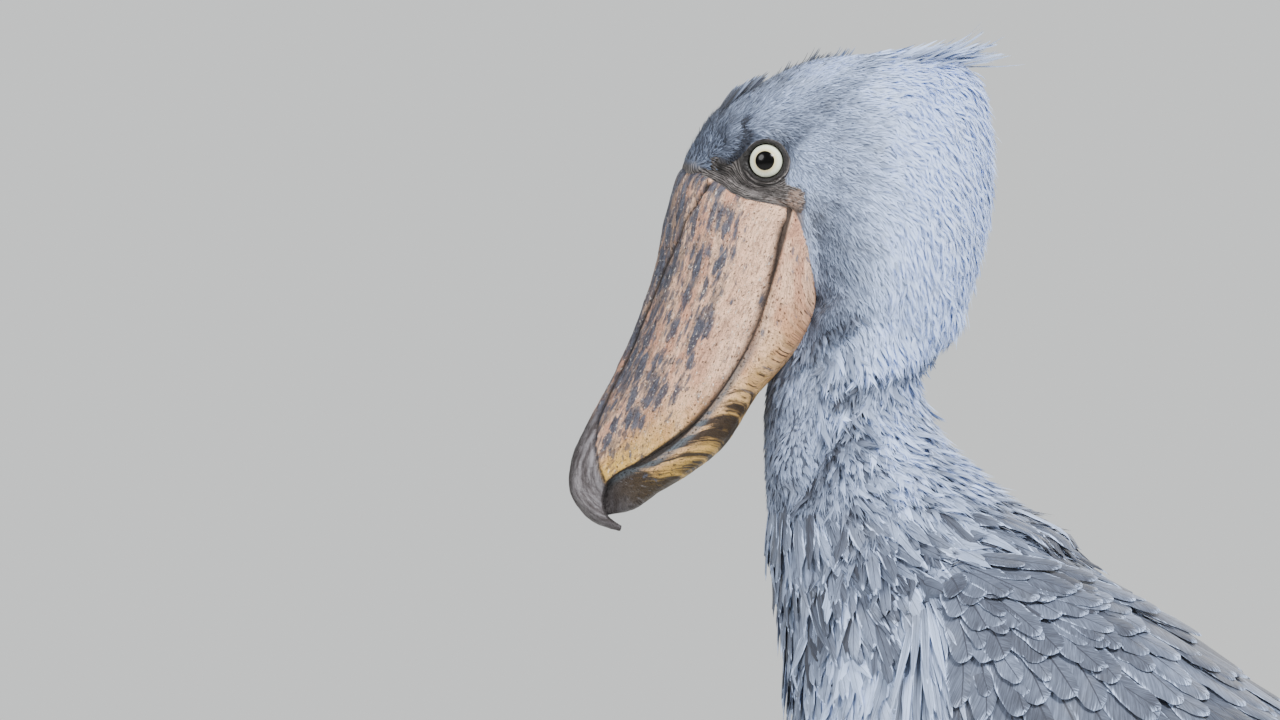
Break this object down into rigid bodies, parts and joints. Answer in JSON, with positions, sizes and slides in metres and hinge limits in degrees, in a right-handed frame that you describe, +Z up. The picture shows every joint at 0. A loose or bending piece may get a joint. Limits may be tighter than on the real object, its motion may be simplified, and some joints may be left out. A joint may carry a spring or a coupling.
{
  "type": "shoebill",
  "caption": "Standing shoebill, a tall grey wading bird with a broad hooked bill, short neck, folded wings, long legs and long flat toes.",
  "frame": {"origin": "on the floor, under the middle of the bird's length and width", "axes": "+Z up, along the bird's height; the bird faces -X with its left side at -Y, and Y runs across it"},
  "size_m": [0.8022, 0.3112, 1.1729],
  "materials": {
    "plumage": "soft slate-grey body feathers",
    "feather": "slate-grey flight feathers and coverts with paler edges",
    "bill": "horn, pinkish tan with dark blotches",
    "eye": "wet, pale cream iris with a black pupil",
    "leg": "bare scaly skin, dark grey",
    "claw": "dark horn"
  },
  "bodies": {
    "root": {"head": "plumage", "upper_bill": "bill", "lower_bill": "bill", "neck": "plumage", "torso": "plumage", "tail": "feather", "eye_left": "eye", "wing_left": "feather", "thigh_left": "plumage", "shank_left": "leg", "foot_left": "leg", "claw_left_inner": "claw", "claw_left_middle": "claw", "claw_left_outer": "claw", "claw_left_hind": "claw", "eye_right": "eye", "wing_right": "feather", "thigh_right": "plumage", "shank_right": "leg", "foot_right": "leg", "claw_right_inner": "claw", "claw_right_middle": "claw", "claw_right_outer": "claw", "claw_right_hind": "claw"}
  },
  "joints": []
}
